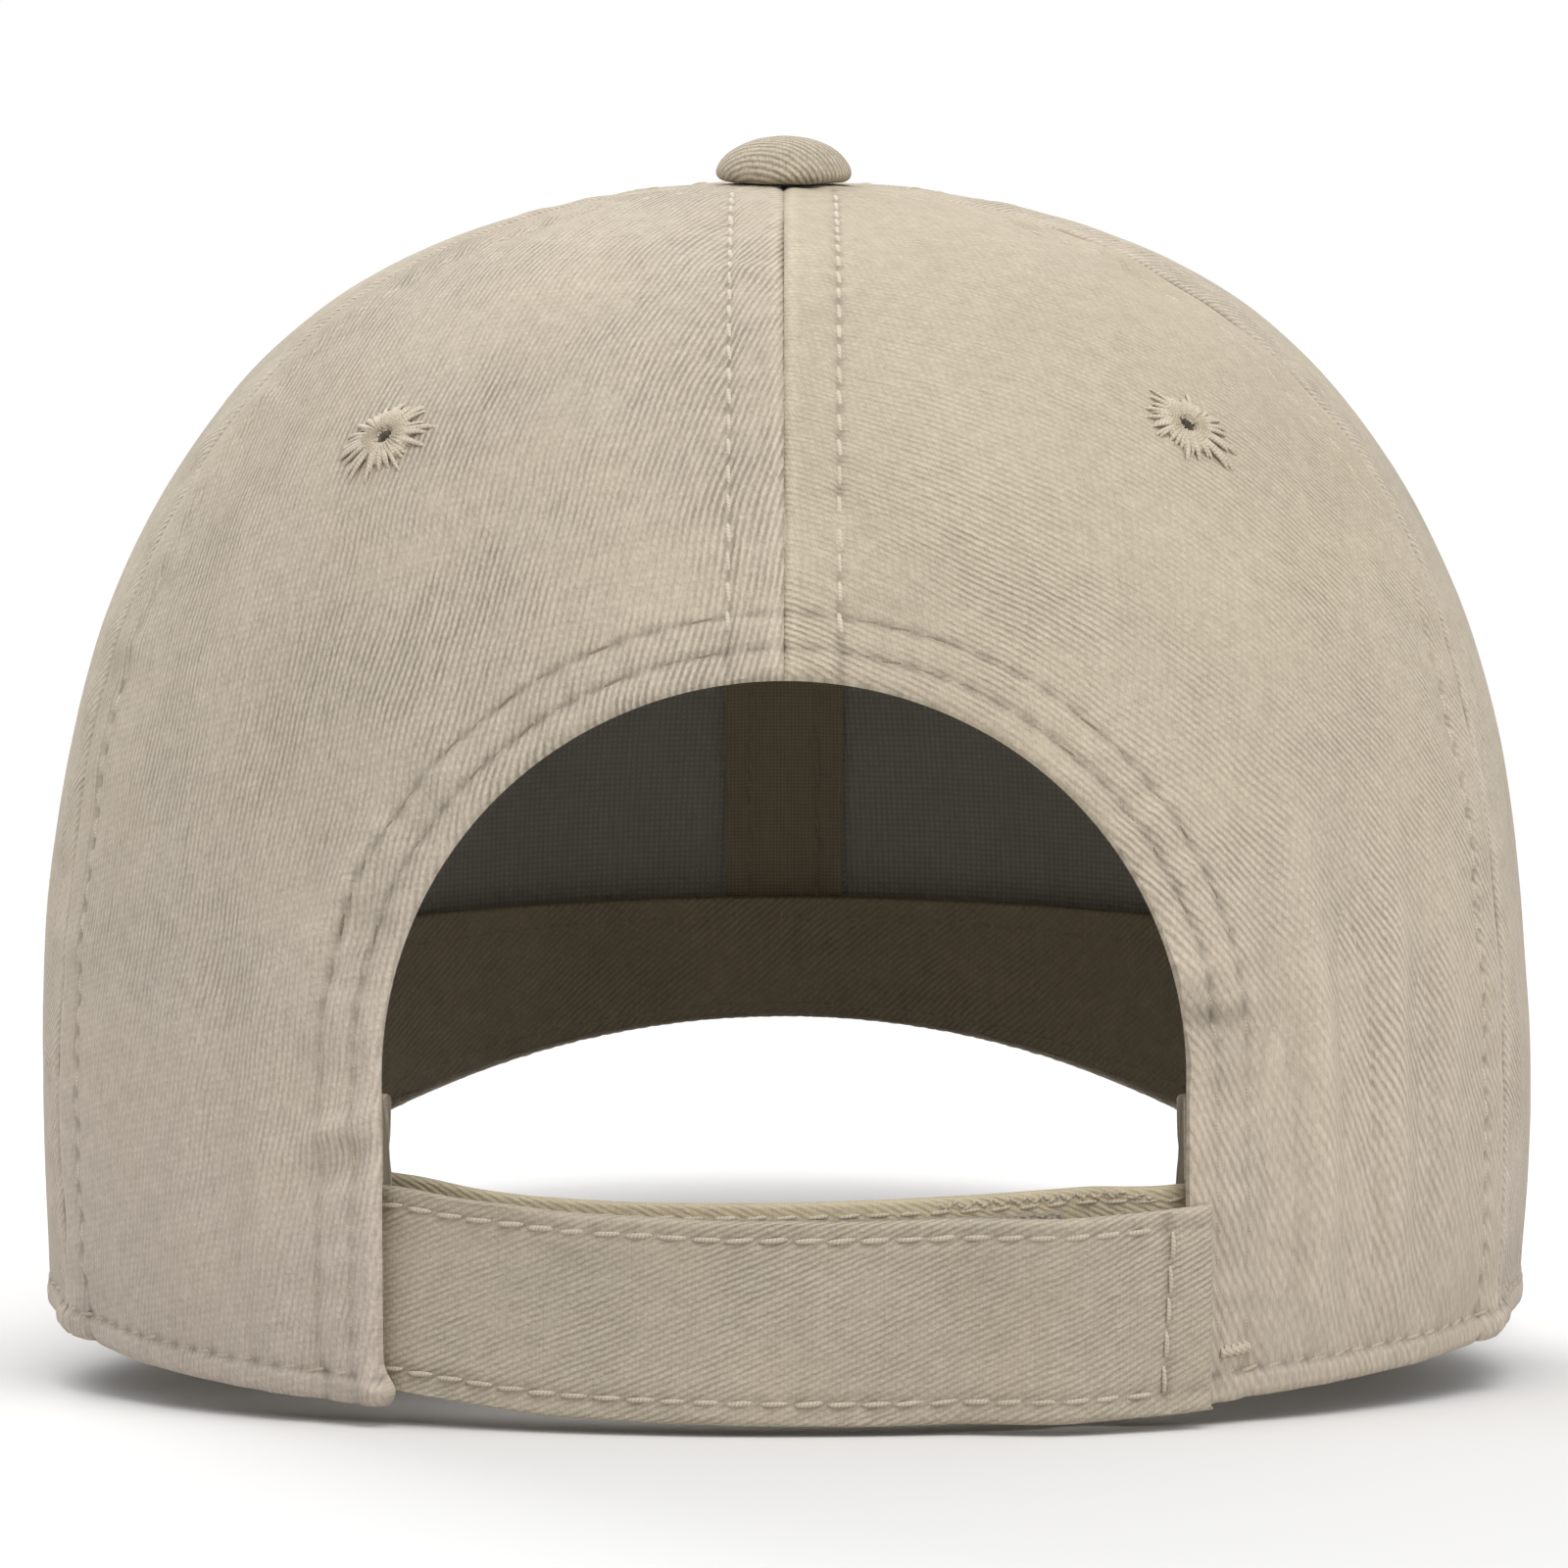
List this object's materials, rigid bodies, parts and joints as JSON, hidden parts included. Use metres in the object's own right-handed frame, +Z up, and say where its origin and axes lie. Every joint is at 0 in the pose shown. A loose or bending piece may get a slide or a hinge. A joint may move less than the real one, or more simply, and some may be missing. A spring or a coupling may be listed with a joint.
{
  "type": "adjustable baseball cap",
  "caption": "Six-panel baseball cap with curved visor, fabric button, eyelets, arched rear opening and a hook-and-loop strap that slides and peels open.",
  "frame": {"origin": "centre of the head opening, on the plane of the hem", "axes": "+Z up through the crown, -Y out over the visor, +Y out through the rear opening and strap, +X towards the wearer's left"},
  "size_m": [0.1704, 0.2673, 0.1497],
  "materials": {
    "twill": "light khaki cotton twill",
    "strap_twill": "light khaki cotton twill, stitched double",
    "tape": "folded plain-weave tape",
    "buckram": "stiffened open-weave cloth",
    "padding": "thin felt padding",
    "board": "polyethylene sheet, matt",
    "steel": "pressed steel",
    "thread": "embroidery thread",
    "hook": "woven nylon hook and loop tape",
    "label": "blank satin label"
  },
  "bodies": {
    "crown": {"buckram_left": "buckram", "buckram_right": "buckram", "button_cover": "twill", "button_rivet": "steel", "button_shell": "steel", "button_washer": "steel", "care_label": "label", "eyelets": "thread", "front_panel_left": "twill", "front_panel_right": "twill", "opening_binding": "tape", "rear_panel_left": "twill", "rear_panel_right": "twill", "seam_tape_center": "tape", "seam_tape_left_front": "tape", "seam_tape_left_rear": "tape", "seam_tape_right_front": "tape", "seam_tape_right_rear": "tape", "side_panel_left": "twill", "side_panel_right": "twill", "sweatband_face": "twill", "sweatband_pad": "padding", "under_strap_root": "strap_twill", "visor_board": "board", "visor_top_cover": "twill", "visor_under_cover": "twill"},
    "strap_slide": {"strap_root": "strap_twill"},
    "strap_flap": {"strap_flap": "strap_twill", "hook_tape": "hook"},
    "under_strap": {"under_strap": "strap_twill", "loop_tape": "hook"}
  },
  "joints": [
    {"name": "size_adjust", "type": "hinge", "parent": "crown", "child": "strap_slide", "pos_m": [0, 0.015, 0.0115], "axis": [0, 0, -1], "range_deg": [-8, 20]},
    {"name": "strap_peel", "type": "hinge", "parent": "strap_slide", "child": "strap_flap", "pos_m": [0.01289, 0.09639, 0.0115], "axis": [0, 0, -1], "range_deg": [0, 110]},
    {"name": "under_strap_fold", "type": "hinge", "parent": "crown", "child": "under_strap", "pos_m": [-0.04079, 0.08509, 0.0118], "axis": [0, 0, -1], "range_deg": [0, 35]}
  ]
}
